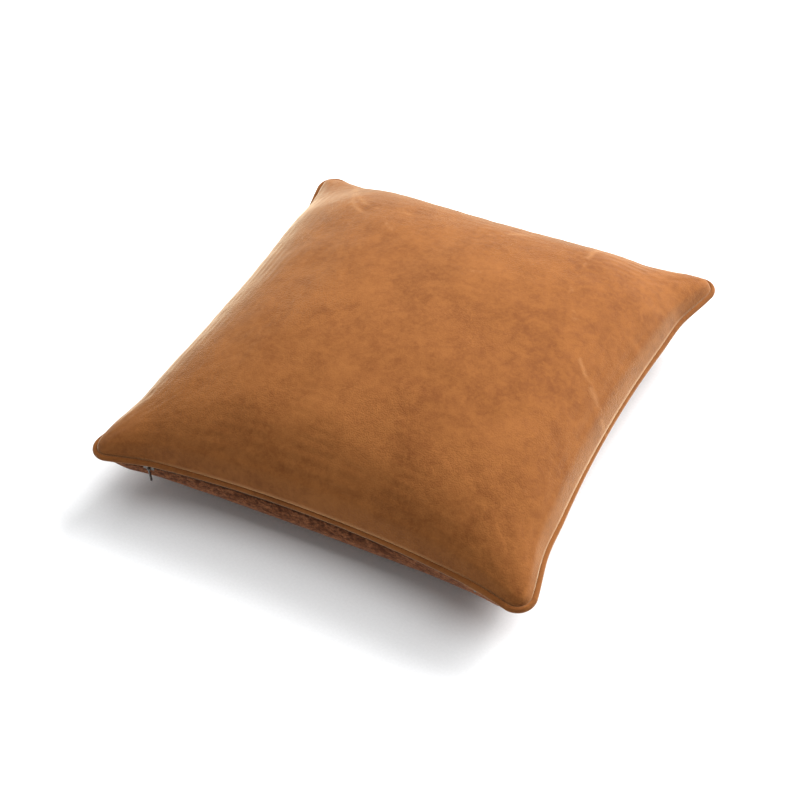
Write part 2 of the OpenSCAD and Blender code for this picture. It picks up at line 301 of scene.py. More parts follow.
def startMaterial(name):
    material = bpy.data.materials.new(name)
    material.use_nodes = True
    tree = material.node_tree
    tree.nodes.clear()
    shader = newNode(tree, "ShaderNodeBsdfPrincipled")
    node(tree, "ShaderNodeOutputMaterial", Surface=shader.outputs[0])
    return material, tree, shader, newNode(tree, "ShaderNodeTexCoord").outputs["Object"]


def bump(tree, height, distance):
    return node(tree, "ShaderNodeBump", Strength=1.0, Distance=distance, Height=height).outputs[0]


# ---- shared effects ----
def cloudGroup():
    # soft patches, from two sizes of noise
    tree, start, end = newGroup(
        "softClouds",
        [("Vector", "NodeSocketVector", None), ("Scale", "NodeSocketFloat", 20.0),
         ("Second Scale", "NodeSocketFloat", 60.0), ("Second Share", "NodeSocketFloat", 0.4)],
        ["Mask"])
    big = node(tree, "ShaderNodeTexNoise", Vector=start["Vector"], Scale=start["Scale"],
               Detail=3.0, Roughness=0.5, Distortion=0.6)
    small = node(tree, "ShaderNodeTexNoise", Vector=start["Vector"], Scale=start["Second Scale"],
                 Detail=4.0, Roughness=0.6, Distortion=0.9)
    share = times(tree, small.outputs[0], start["Second Share"])
    main = times(tree, big.outputs[0], math2(tree, "SUBTRACT", 1.0, start["Second Share"]))
    setInputs(tree, end, {"Mask": ramp(tree, plus(tree, main, share), 0.34, 0.66)})
    return tree


def grainGroup():
    # pebbled hide: rounded cells with creases between them, fading in and out over the hide
    tree, start, end = newGroup(
        "hideGrain",
        [("Vector", "NodeSocketVector", None), ("Scale", "NodeSocketFloat", 700.0),
         ("Nap Scale", "NodeSocketFloat", 2600.0), ("Reach", "NodeSocketFloat", 0.5)],
        ["Height", "Crease"])
    warp = node(tree, "ShaderNodeTexNoise", Vector=start["Vector"], Scale=240.0, Detail=2.0)
    bend = node(tree, "ShaderNodeVectorMath", operation="SCALE", Scale=0.0022)
    setInput(tree, bend.inputs[0], warp.outputs["Color"])
    moved = node(tree, "ShaderNodeVectorMath", operation="ADD")
    setInput(tree, moved.inputs[0], start["Vector"])
    setInput(tree, moved.inputs[1], bend.outputs[0])
    cells = node(tree, "ShaderNodeTexVoronoi", feature="SMOOTH_F1", Smoothness=0.35,
                 Vector=moved.outputs[0], Scale=start["Scale"])
    nap = node(tree, "ShaderNodeTexNoise", Vector=start["Vector"], Scale=start["Nap Scale"],
               Detail=3.0, Roughness=0.65)
    where = node(tree, "ShaderNodeTexNoise", Vector=start["Vector"], Scale=9.0, Detail=3.0)
    crease = ramp(tree, cells.outputs["Distance"], 0.38, 0.72)
    patch = ramp(tree, where.outputs[0], 0.40, 0.62)
    amount = plus(tree, times(tree, patch, start["Reach"]), 0.25)
    seen = times(tree, crease, amount)
    height = math2(tree, "SUBTRACT", times(tree, nap.outputs[0], 0.45), seen)
    # the Crease output is the mask for the painted shade in the creases
    setInputs(tree, end, {"Height": height, "Crease": seen})
    return tree


def weaveGroup():
    # plain weave: two sets of yarns that pass over and under each other, and a mask for painted shade in
    # the gaps between them
    tree, start, end = newGroup(
        "plainWeave",
        [("Vector", "NodeSocketVector", None), ("Yarns", "NodeSocketFloat", 1500.0)],
        ["Height", "GapShade"])
    scaled = node(tree, "ShaderNodeVectorMath", operation="SCALE", Scale=start["Yarns"])
    setInput(tree, scaled.inputs[0], start["Vector"])
    split = node(tree, "ShaderNodeSeparateXYZ", Vector=scaled.outputs[0]).outputs
    waveA, waveB = (math2(tree, "ABSOLUTE", math2(tree, "SINE", plus(tree, split[k], split[2])))
                    for k in (0, 1))
    high = math2(tree, "MAXIMUM", waveA, waveB)
    setInputs(tree, end, {"Height": plus(tree, high, times(tree, waveA, waveB)),
                          "GapShade": ramp(tree, high, 0.25, 0.75, white, black)})
    return tree


clouds, grain, weave = cloudGroup(), grainGroup(), weaveGroup()


def patchMask(tree, coords, scale, second, share=0.5):
    return useGroup(tree, clouds, {"Vector": coords, "Scale": scale, "Second Scale": second,
                                   "Second Share": share})[0]


# ---- finishes ----
nubuck = {
    "dark": (0.158, 0.0470, 0.0082),
    "mid": (0.228, 0.0770, 0.0168),
    "light": (0.305, 0.1180, 0.0320),
    "scratchAndHighlight": (0.470, 0.2300, 0.0920),
    "roughness": 0.78,
    "mottle": 0.42,           # share of the fine patches
    "wear": 0.55,             # strength of the painted highlight along the leather's lower edge
    "crease": 0.16,           # painted shade between the pebbles
}
scratch = {
    "arcs": [(-0.020, 0.300, 0.150), (0.060, 0.330, 0.235), (0.330, 0.180, 0.190)],
                              # centre x and y, and radius, of long curved scratches
    "height": 0.12,           # of their centres
    "width": 0.0007,
    "bend": 0.05,             # how far noise bends them
    "strokes": 0.4,           # strength of the short strokes beside the scratches
    "share": 0.30,            # strength of all these marks
}


def leatherMaterial(name, tones, grainReach, bumpDepth):
    material, tree, shader, coords = startMaterial(name)
    broad = patchMask(tree, coords, 11.0, 42.0, 0.42)
    fine = patchMask(tree, coords, 85.0, 260.0)
    pebble = useGroup(tree, grain, {"Vector": coords, "Scale": 620.0, "Nap Scale": 2400.0,
                                    "Reach": grainReach})
    first = mixColor(tree, broad, tones["dark"], tones["mid"])
    second = mixColor(tree, fine, first, tones["light"])
    base = mixColor(tree, tones["mottle"], first, second)
    # fine pale marks in the nap: short strokes one way, and a few long curved scratches
    mapped = node(tree, "ShaderNodeMapping", Vector=coords, Rotation=(0, 0, 0.9), Scale=(30, 800, 30))
    streak = node(tree, "ShaderNodeTexNoise", Vector=mapped.outputs[0], Scale=1.0, Detail=3.0,
                  Roughness=0.55)
    strokes = ramp(tree, streak.outputs[0], 0.64, 0.76)
    bend = node(tree, "ShaderNodeTexNoise", Vector=coords, Scale=9.0, Detail=3.0)
    curved = mixColor(tree, scratch["bend"], coords, bend.outputs["Color"])
    scratches = 0.0
    for x, y, radius in scratch["arcs"]:
        away = node(tree, "ShaderNodeVectorMath", operation="DISTANCE")
        setInput(tree, away.inputs[0], curved)
        setInput(tree, away.inputs[1], (x, y, scratch["height"]))
        off = math2(tree, "ABSOLUTE", math2(tree, "SUBTRACT", away.outputs["Value"], radius))
        line = ramp(tree, off, 0.0, scratch["width"], white, black)
        scratches = math2(tree, "MAXIMUM", line, scratches)
    where = patchMask(tree, coords, 7.0, 24.0)
    strokes = times(tree, times(tree, strokes, where), scratch["strokes"])
    scratches = times(tree, scratches, ramp(tree, where, 0.52, 0.80))
    marks = times(tree, math2(tree, "MAXIMUM", strokes, scratches), scratch["share"])
    # painted highlight: a pale line along the leather's lower edge, where the rolled edge catches the light
    edgeHighlight = node(tree, "ShaderNodeAttribute", attribute_name="edgeHighlight").outputs["Fac"]
    faint = math2(tree, "MAXIMUM", marks, times(tree, edgeHighlight, tones["wear"]))
    # the pale tone takes both the real scratches and strokes and the painted highlight
    markedAndHighlit = mixColor(tree, faint, base, tones["scratchAndHighlight"])
    # painted shade: the creases between the pebbles are darkened towards the dark tone
    creaseShade = times(tree, pebble["Crease"], tones["crease"])
    height = plus(tree, pebble["Height"], times(tree, broad, 0.5))
    setInputs(tree, shader, {
        "Base Color": mixColor(tree, creaseShade, markedAndHighlit, tones["dark"]),
        "Roughness": plus(tree, times(tree, fine, 0.12), tones["roughness"]),
        "Normal": bump(tree, height, bumpDepth),
        "Specular IOR Level": 0.12, "Sheen Weight": 0.68, "Sheen Roughness": 0.36,
        "Sheen Tint": (1.0, 0.80, 0.55)})
    return material


velvetLook = {
    "deep": (0.050, 0.0140, 0.0060),
    "mid": (0.190, 0.0640, 0.0240),
    "light": (0.390, 0.1560, 0.0680),
    "speck": 0.6,
    "pile": 0.0006,           # depth of the bump
}


def velvetMaterial():
    material, tree, shader, coords = startMaterial("velvetPile")
    patches = patchMask(tree, coords, 85.0, 210.0)
    brushed = node(tree, "ShaderNodeMapping", Vector=coords, Rotation=(0, 0, 0.3), Scale=(170, 420, 420))
    nap = node(tree, "ShaderNodeTexNoise", Vector=brushed.outputs[0], Scale=1.0, Detail=5.0, Roughness=0.65)
    tufts = node(tree, "ShaderNodeTexNoise", Vector=coords, Scale=620.0, Detail=4.0, Roughness=0.7)
    lie = ramp(tree, nap.outputs[0], 0.32, 0.66)
    mixed = times(tree, patches, lie)
    base = mixColor(tree, lie, velvetLook["deep"], velvetLook["mid"])
    base = mixColor(tree, mixed, base, velvetLook["light"])
    speck = times(tree, ramp(tree, tufts.outputs[0], 0.38, 0.62), velvetLook["speck"])
    height = plus(tree, times(tree, tufts.outputs[0], 0.5), mixed)
    setInputs(tree, shader, {
        "Base Color": mixColor(tree, speck, base, velvetLook["deep"]),
        "Normal": bump(tree, height, velvetLook["pile"]),
        "Roughness": 0.9, "Specular IOR Level": 0.1, "Sheen Weight": 0.4, "Sheen Roughness": 0.35,
        "Sheen Tint": (1.0, 0.50, 0.30)})
    return material


def clothMaterial(name, light, dark, yarns, sheen=0.2, depth=0.0002):
    material, tree, shader, coords = startMaterial(name)
    cloth = useGroup(tree, weave, {"Vector": coords, "Yarns": yarns})
    soft = times(tree, patchMask(tree, coords, 30.0, 140.0), 0.3)
    # painted shade: the gaps between the yarns take the dark tone
    base = mixColor(tree, cloth["GapShade"], light, dark)
    setInputs(tree, shader, {
        "Base Color": mixColor(tree, soft, base, dark),
        "Normal": bump(tree, cloth["Height"], depth),
        "Roughness": 0.85, "Sheen Weight": sheen})
    return material


def threadMaterial(name, light, dark):
    # twisted yarn: slanting bands along the thread, the low bands between the twists painted darker as
    # shade
    material, tree, shader, coords = startMaterial(name)
    twist = node(tree, "ShaderNodeTexWave", bands_direction="DIAGONAL", Vector=coords, Scale=420.0,
                 Distortion=1.5, Detail=2.0).outputs["Fac"]
    setInputs(tree, shader, {
        "Base Color": mixColor(tree, twist, dark, light),
        "Normal": bump(tree, twist, 0.0001),
        "Roughness": 0.6})
    return material


def fibreMaterial(name, light, dark):
    # loose filling: tangled strands with soft hollows between them, the hollows painted darker as shade
    material, tree, shader, coords = startMaterial(name)
    tangle = node(tree, "ShaderNodeTexNoise", Vector=coords, Scale=180.0, Detail=6.0, Roughness=0.7,
                  Distortion=2.5).outputs[0]
    setInputs(tree, shader, {
        "Base Color": mixColor(tree, ramp(tree, tangle, 0.35, 0.6), dark, light),
        "Normal": bump(tree, tangle, 0.002),
        "Roughness": 0.95, "Sheen Weight": 0.3})
    return material


def metalMaterial(name, clean, worn):
    # dark plated zinc: brushed along, rubbed brighter in patches
    material, tree, shader, coords = startMaterial(name)
    brushed = node(tree, "ShaderNodeMapping", Vector=coords, Scale=(500, 500, 9000))
    strokes = node(tree, "ShaderNodeTexNoise", Vector=brushed.outputs[0], Scale=1.0, Detail=3.0).outputs[0]
    setInputs(tree, shader, {
        "Base Color": mixColor(tree, patchMask(tree, coords, 260.0, 900.0), clean, worn),
        "Roughness": plus(tree, times(tree, strokes, 0.25), 0.26),
        "Normal": bump(tree, strokes, 0.00003),
        "Metallic": 1.0})
    return material


def nylonMaterial(name, light, dark):
    material, tree, shader, coords = startMaterial(name)
    haze = patchMask(tree, coords, 150.0, 900.0, 0.4)
    setInputs(tree, shader, {
        "Base Color": mixColor(tree, haze, dark, light),
        "Roughness": plus(tree, times(tree, haze, 0.2), 0.35),
        "Normal": bump(tree, haze, 0.00005)})
    return material


# the piping's tones are the same nubuck made darker, as painted shade for the piping lying under the
# panel's rolled edge
piping = dict(nubuck, dark=(0.140, 0.0430, 0.0085), mid=(0.205, 0.0690, 0.0150),
              light=(0.270, 0.1020, 0.0270))
looks = {
    "leather": leatherMaterial("nubuckFront", nubuck, 0.8, 0.00014),
    "piping_leather": leatherMaterial("nubuckPiping", piping, 0.3, 0.00010),
    "velvet": velvetMaterial(),
    "cotton_cord": clothMaterial("cottonCord", (0.80, 0.75, 0.62), (0.55, 0.50, 0.40), 2200.0),
    "thread": threadMaterial("sewingThread", (0.30, 0.13, 0.05), (0.14, 0.05, 0.018)),
    "zip_tape": clothMaterial("zipTape", (0.040, 0.018, 0.011), (0.012, 0.006, 0.004), 5200.0),
    "zip_teeth": nylonMaterial("coilNylon", (0.045, 0.026, 0.018), (0.016, 0.010, 0.008)),
    "zip_metal": metalMaterial("platedZinc", (0.11, 0.10, 0.095), (0.30, 0.28, 0.26)),
    "ticking": clothMaterial("cottonTicking", (0.85, 0.82, 0.74), (0.60, 0.57, 0.50), 4200.0),
    "filling": fibreMaterial("featherFibre", (0.93, 0.91, 0.86), (0.62, 0.60, 0.55)),
    "pad_thread": threadMaterial("padThread", (0.80, 0.74, 0.62), (0.52, 0.47, 0.38)),
    "label_satin": clothMaterial("labelSatin", (0.88, 0.86, 0.80), (0.66, 0.64, 0.58), 9000.0,
                                 0.6, 0.00005),
}
slots = {part["node"]: part["material_slot"] for part in frame["record"]["subparts"]}
for name, part in frame["nodes"].items():
    part.data.materials.clear()
    part.data.materials.append(looks[slots[name]])
print("finishes made:", len(looks))


def finishPiece(piece, name, nodes, body, slot):
    # name it, give it its finish, and let it stand for its CAD nodes
    piece.name = name
    piece.data.name = name
    piece.data.materials.clear()
    piece.data.materials.append(looks[slot])
    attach(piece, body)
    if nodes:
        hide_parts(*nodes)
    return piece


# ---- stuffed cover: both panels as one closed shape, filled by cloth simulation ----
cover = {
    "cells": 96,
    "quickCells": 56,
    "startRise": 0.084,
    "squareness": 2.6,
    "fullness": 0.45,
    "frames": 16,
    "pressure": 8.0,
    "stiffness": 20.0,
    "bending": 4.0,
    "mass": 0.3,
    "quality": 6,
    "damping": 10,            # of stretch and shear
    "softDamping": 2,         # of bending, and by the air
    "skin": 0.001,            # how close the cloth comes to the ground
    "friction": 5,
}


def addFloorForCloth():
    bpy.ops.mesh.primitive_plane_add(size=2)
    ground = bpy.context.object
    bpy.ops.object.modifier_add(type="COLLISION")
    ground.collision.thickness_outer = cover["skin"]
    ground.collision.cloth_friction = cover["friction"]
    return ground


def stuffedCover():
    # returns the front and the back as grids of points, in the order of gridUV
    cells = cover["cells"]
    uu, vv = gridUV(cells)
    rise = cover["startRise"] * puff(uu, vv, cover["squareness"], cover["fullness"])
    flat = planPoints(uu, vv)
    least = 2 * cover["skin"]
    front = np.dstack([flat, seamHeight + rise])
    back = np.dstack([flat, np.maximum(seamHeight - rise, least)])
    bpy.ops.mesh.primitive_grid_add(x_subdivisions=cells, y_subdivisions=cells, size=2)
    upper = bpy.context.object
    bpy.ops.object.duplicate()
    lower = bpy.context.object
    writePoints(upper.data, front.reshape(-1, 3))
    writePoints(lower.data, back.reshape(-1, 3))
    lower.data.flip_normals()
    upper.select_set(True)
    bpy.context.view_layer.objects.active = upper
    bpy.ops.object.join()
    shell = bpy.context.object
    mergeDoubles(shell)
    start = readPoints(shell.data)
    pinned = shell.vertex_groups.new(name="seam")
    onSeam = [i for i, p in enumerate(start) if abs(p[2] - seamHeight) < 1e-6]
    pinned.add(onSeam, 1.0, "REPLACE")
    modifier = shell.modifiers.new("filling", "CLOTH")
    cloth = modifier.settings
    cloth.vertex_group_mass = "seam"
    cloth.quality = cover["quality"]
    cloth.mass = cover["mass"]
    cloth.tension_stiffness = cloth.compression_stiffness = cover["stiffness"]
    cloth.shear_stiffness = cover["stiffness"] / 3
    cloth.bending_stiffness = cover["bending"]
    cloth.tension_damping = cloth.compression_damping = cloth.shear_damping = cover["damping"]
    cloth.bending_damping = cloth.air_damping = cover["softDamping"]
    cloth.use_pressure = True
    cloth.uniform_pressure_force = cover["pressure"]
    cloth.effector_weights.gravity = 0
    modifier.collision_settings.distance_min = cover["skin"]
    modifier.collision_settings.use_self_collision = False
    modifier.point_cache.frame_end = cover["frames"]
    ground = addFloorForCloth()
    for step in range(1, cover["frames"] + 1):
        bpy.context.scene.frame_set(step)
    applyAll(shell)
    filled = readPoints(shell.data)
    # each grid point finds its own vertex by where it started
    places = {tuple(p): i for i, p in enumerate(np.round(start * 1e5).astype(int).tolist())}
    for grid in (front, back):
        keys = np.round(np.float32(grid).astype(float) * 1e5).astype(int)
        for spot in np.ndindex(cells + 1, cells + 1):
            grid[spot] = filled[places[tuple(keys[spot].tolist())]]
    for spare in (shell, ground):
        bpy.data.objects.remove(spare)
    bpy.context.scene.frame_set(1)
    return uu, vv, front, back


uu, vv, frontGrid, backGrid = stuffedCover()
print("cover filled: crown", round(float(frontGrid[..., 2].max()), 4))


# ---- finer grid, rolled edges and wrinkles ----
edging = {
    "cells": 200,
    "crowding": 0.62,         # how much closer the grid's lines lie near the seam
    # the leather's rolled edge over the piping, row by row: how far out and how high
    "roll": [(0.0044, 0.0036), (0.0040, 0.0029), (0.0027, 0.0026), (0.0013, 0.0019), (0.0003, 0.0009)],
    "rollFade": 0.050,        # height at which the roll has died away
    "rollCorner": 0.25,       # share of the roll that is left at the corners
    "sag": 0.0068,            # belly of the velvet under the piping on the zip side
    "sagElsewhere": 0.0022,
    "sagLost": 1.2,           # how much of the zip side's belly goes towards its closed end
    "sagDrop": 0.0170,        # depth below the rim where the belly is widest
    "sagFade": 0.062,         # depth where it has died away
    "backWrinkles": 0.6,      # share of the wrinkles that the velvet gets
    "foot": 0.012,            # height above the ground where they start
    "dent": 0.0012,           # broad soft dents
    "dentScale": 14.0,
    "dentReach": 0.25,        # share of the half width where they fade towards the seam
    "pucker": 0.0009,         # gathers that run in from the seam
    "puckerScale": 66.0,
    "puckerReach": 0.22,
    "puckerStart": 0.015,
    "puckerTurn": 0.06,       # how much the gathers change on their way in
    "wearWidth": 0.0015,      # of the painted highlight line along the leather's lower edge
}


def crowded(cells):
    t = np.linspace(-1, 1, cells + 1)
    k = edging["crowding"]
    return (1 - k) * t + k * np.sin(t * math.pi / 2)


def resample(grid, line):
    # cubic curves through the rows, then through the columns
    for axis in (0, 1):
        values = np.moveaxis(grid, axis, 0)
        count = values.shape[0] - 1
        where = (line + 1) / 2 * count
        low = np.clip(where.astype(int), 0, count - 1)
        t = (where - low)[:, None, None]
        ends = np.concatenate([2 * values[:1] - values[1:2], values, 2 * values[-1:] - values[-2:-1]])
        p0, p1, p2, p3 = (ends[low + k] for k in range(4))
        square, cube = 2 * p0 - 5 * p1 + 4 * p2 - p3, 3 * (p1 - p2) + p3 - p0
        curve = p1 + t * ((p2 - p0) + t * (square + t * cube)) / 2
        curve = np.where(t == 0, p1, curve)
        grid = np.moveaxis(curve, 0, axis)
    return grid


line = crowded(edging["cells"])
uu, vv = np.meshgrid(line, line)
frontGrid, backGrid = resample(frontGrid, line), resample(backGrid, line)


def outward(grid):
    # level direction away from the middle, from the outline's own shape
    step = 0.004
    apart = planPoints(uu, vv, -step) - planPoints(uu, vv)
    length = np.linalg.norm(apart, axis=-1, keepdims=True)
    return apart / np.maximum(length, 1e-9)


def zipShare(x, y):
    # 1 along the zip side, fading to 0 between the tapes' ends and the corners
    radius, centre, corner, cornerCentre, meet = outlineAt(0.0)
    sideEnd = (radius + pillow["allowance"]) * math.sin(meet)
    onZip = (y < 0) & (abs(x) < abs(y) + 1e-6)
    return np.where(onZip, 1 - smooth((abs(x) - tapeEnd) / (sideEnd - tapeEnd)), 0.0)


def wrinkle(grid, seed, share):
    flat = grid.reshape(-1, 3)
    edge = 1 - np.maximum(abs(uu), abs(vv))
    inside = smooth(edge / edging["dentReach"])
    near = (1 - smooth(edge / edging["puckerReach"])) * smooth(edge / edging["puckerStart"])
    dents = softNoise(flat, edging["dentScale"], seed).reshape(uu.shape)
    dents += 0.5 * softNoise(flat, 2.3 * edging["dentScale"], seed + 1).reshape(uu.shape)
    # gathers run in from the seam, so their noise hardly changes across it
    along = np.where(abs(uu) > abs(vv), grid[..., 1], grid[..., 0])
    which = np.where(abs(uu) > abs(vv), np.sign(uu), 2 * np.sign(vv))
    gather = np.dstack([along, edging["puckerTurn"] * edge, 0.3 * which]).reshape(-1, 3)
    gathers = softNoise(gather, edging["puckerScale"], seed + 2).reshape(uu.shape)
    return share * (edging["dent"] * dents * inside + edging["pucker"] * gathers * near)


def sideShare(u, v, atCorner):
    # 1 at the middle of each side, less towards the corners
    along = np.minimum(abs(u), abs(v)) / np.maximum(np.maximum(abs(u), abs(v)), 1e-6)
    return atCorner + (1 - atCorner) * np.cos(along * math.pi / 2)


# corners that stand out like small ears: x side, y side, how far out, how far up, and slackness
ears = [
    (-1, -1, 0.0090, -0.0010, 0.04),
    (1, -1, 0.0036, -0.0030, 0.10),
    (1, 1, 0.0085, 0.0010, 0.16),
    (-1, 1, 0.0035, 0.0008, 0.36),
]
earReach = 0.062
slackReach = 0.110
tuckIn = 0.0016               # the sides away from the zip pull in a little beside the ears
tuckWidth = 0.75              # of that stretch, as a share of the ears' reach
earGround = 0.030             # height below which the ears don't move up or down


def drawnOut(points):
    # moves the sewn edge and all that is near it, so that the corners stand out
    moved = points.copy()
    tip = float(sidePoints([1.0])[0, 0])
    flat = points[..., :2]
    for sideX, sideY, out, up, slack in ears:
        away = np.linalg.norm(flat - [sideX * tip, sideY * tip], axis=-1)
        near = smooth(1 - away / earReach)
        moved[..., 0] += sideX * out * near / math.sqrt(2)
        moved[..., 1] += sideY * out * near / math.sqrt(2)
        moved[..., 2] += up * near ** 2
        beside = smooth(1 - abs(away - earReach) / (tuckWidth * earReach))
        rim = smooth(np.max(abs(flat), axis=-1) / tip * 2.5 - 1.3)
        inX = (abs(flat[..., 0]) > abs(flat[..., 1])) * np.sign(flat[..., 0])
        inY = (abs(flat[..., 1]) >= abs(flat[..., 0])) * (flat[..., 1] > 0)
        moved[..., 0] -= tuckIn * beside * rim * inX
        moved[..., 1] -= tuckIn * beside * rim * inY
    return moved


def shapeFront(grid):
    rise = grid[..., 2] - seamHeight
    top = pillow["crown"] + seamHeight - frontRim
    height = rise * top / rise.max()
    tip = float(sidePoints([1.0])[0, 0])
    for sideX, sideY, out, up, slack in ears:
        away = np.linalg.norm(grid[..., :2] - [sideX * tip, sideY * tip], axis=-1)
        height = height * (1 - slack * smooth(1 - away / slackReach))
    share = sideShare(uu, vv, edging["rollCorner"])
    rollOut, rollUp = edging["roll"][0]
    out = rollOut * share * (1 - smooth(height / edging["rollFade"]))
    grid[..., :2] += outward(grid) * out[..., None]
    grid[..., 2] = frontRim + rollUp * share * (1 - height / top) + height + wrinkle(grid, 3, 1.0)
    # the second result is a painted highlight, strongest at the leather's lower edge
    return drawnOut(grid), np.exp(-(height / edging["wearWidth"]) ** 2)


def shapeBack(grid):
    # the foot comes down to the ground, and the rim to its own height, lower along the zip
    low = grid[..., 2].min()
    drop = (seamHeight - grid[..., 2]) * seamHeight / (seamHeight - low)
    rim = planPoints(uu, np.full_like(vv, -1.0))
    share = zipShare(rim[..., 0], rim[..., 1]) * smooth((-vv - 0.35) / 0.65)
    target = backRim + (zipRim - backRim) * share
    drop *= target / seamHeight
    onZip = smooth((-vv - abs(uu)) * 4 + 0.5)
    onZip = onZip * (1 - edging["sagLost"] * smooth((uu - 0.1) / 0.7))
    least = edging["sagElsewhere"]
    sag = (least + (edging["sag"] - least) * onZip) * sideShare(uu, vv, 0.0)
    out = sag * np.sin(np.clip(drop / edging["sagDrop"], 0, 1) * math.pi / 2)
    out *= 1 - smooth((drop - edging["sagDrop"]) / (edging["sagFade"] - edging["sagDrop"]))
    grid[..., :2] += outward(grid) * out[..., None]
    grid[..., 2] = target - drop
    grid[..., 2] += wrinkle(grid, 11, edging["backWrinkles"]) * smooth(grid[..., 2] / edging["foot"])
    moved = drawnOut(grid)
    moved[..., 2] = grid[..., 2] + (moved[..., 2] - grid[..., 2]) * smooth(grid[..., 2] / earGround)
    return moved


frontGrid, frontHighlight = shapeFront(frontGrid)
backGrid = shapeBack(backGrid)
print("edges rolled")


# ---- sewn panels ----
def gridPiece(points, u, v, facingUp):
    cells = points.shape[0] - 1
    bpy.ops.mesh.primitive_grid_add(x_subdivisions=cells, y_subdivisions=cells, size=2)
    piece = bpy.context.object
    writePoints(piece.data, points.reshape(-1, 3))
    for name, values in (("across", u), ("along", v)):
        attribute = piece.data.attributes.new(name, "FLOAT", "POINT")
        attribute.data.foreach_set("value", np.asarray(values, np.float32).ravel())
    if not facingUp:
        piece.data.flip_normals()
    return piece


def readAttribute(mesh, name):
    values = np.zeros(len(mesh.vertices), np.float32)
    mesh.attributes[name].data.foreach_get("value", values)
    return values.astype(float)


def turnIn(piece, rows, inset=0.0, rim=None):
    # extrude the rim row by row: each row lies a way out from the outline and above the rim's height
    bpy.ops.object.mode_set(mode="EDIT")
    bpy.ops.mesh.select_mode(type="EDGE")
    bpy.ops.mesh.select_all(action="DESELECT")
    bpy.ops.mesh.select_non_manifold()
    for out, up in rows:
        bpy.ops.mesh.extrude_edges_move()
        bpy.ops.object.mode_set(mode="OBJECT")
        mesh = piece.data
        co = readPoints(mesh)
        u, v = readAttribute(mesh, "across"), readAttribute(mesh, "along")
        new = np.array([vertex.select for vertex in mesh.vertices])
        u, v = u[new], v[new]
        height = co[new, 2] if rim is None else np.full(len(u), rim)
        foot = np.column_stack([planPoints(u, v, inset), height])
        share = sideShare(u, v, edging["rollCorner"])[:, None]
        way = planPoints(u, v, inset + 0.001) - planPoints(u, v, inset)
        way /= np.linalg.norm(way, axis=1)[:, None]
        inward = planPoints(u, v, inset - out) if out < 0 else foot[:, :2] - way * out * share
        shift = drawnOut(foot) - foot if inset == 0 else 0 * foot
        level = [1, 1, 0 if rim is None else 1]
        co[new] = np.column_stack([inward, height + up * share[:, 0]]) + shift * level
        writePoints(mesh, co)
        bpy.ops.object.mode_set(mode="EDIT")
    bpy.ops.object.mode_set(mode="OBJECT")


def thicken(piece, thickness):
    solid = piece.modifiers.new("thickness", "SOLIDIFY")
    solid.thickness = thickness
    solid.offset = -1
    applyAll(piece)
    bpy.ops.object.shade_smooth()
    for name in ("across", "along"):
        attribute = piece.data.attributes.get(name)
        if attribute:
            piece.data.attributes.remove(attribute)


def makePanel(name, points, nodeName, thickness, rows, slot, wear=None, rim=None):
    piece = gridPiece(points, uu, vv, wear is not None)
    if wear is not None:
        # the painted highlight along the lower edge is kept on the points for the finish
        edgeHighlight = piece.data.attributes.new("edgeHighlight", "FLOAT", "POINT")
        edgeHighlight.data.foreach_set("value", np.asarray(wear, np.float32).ravel())
    turnIn(piece, rows + [(-pillow["allowance"], 0)], rim=rim)
    thicken(piece, thickness)
    finishPiece(piece, name, [nodeName], "cover", slot)
    return piece


frontPanel = makePanel("frontPanel", frontGrid, "front_panel", pillow["leather"],
                       edging["roll"][1:] + [(0, 0)], "leather", frontHighlight, frontRim)
backPanel = makePanel("backPanel", backGrid, "back_panel", pillow["velvet"], [], "velvet")
print("panels sewn:", len(frontPanel.data.polygons), "faces each")


# ---- inner pad ----
pad = {
    "inset": 0.013,
    "cells": 56,
    "gap": 0.0012,
    "ticking": 0.0006,
    "turnIn": 0.008,
    "fillCells": 40,
    "steepest": 0.35,         # least upward share of a normal that still counts
    "squareness": 9.0,
    "fullness": 0.5,
    "filled": 0.8,            # share of the pad that the feathers fill
}


def gridTree(points):
    cells = points.shape[0] - 1
    starts = [row * (cells + 1) + column for row in range(cells) for column in range(cells)]
    quads = [(a, a + 1, a + cells + 2, a + cells + 1) for a in starts]
    return BVHTree.FromPolygons([Vector(p) for p in points.reshape(-1, 3)], quads)


def padGrid(u, v, inset, skin, wall, up):
    # the pad follows the inside of the cover, a wall and a gap away from it
    plan = planPoints(u, v, inset)
    heights = np.zeros(u.shape)
    way = 1 if up else -1
    for index in np.ndindex(u.shape):
        x, y = plan[index]
        hit, normal, _, _ = skin.ray_cast(Vector((x, y, seamHeight + way)), Vector((0, 0, -way)))
        if hit is not None:
            clear = wall / max(abs(normal.z), pad["steepest"])
            heights[index] = max(0.0, way * (hit.z - seamHeight) - clear)
    rounded = puff(u, v, pad["squareness"], pad["fullness"])
    return np.dstack([plan, seamHeight + way * heights * rounded])


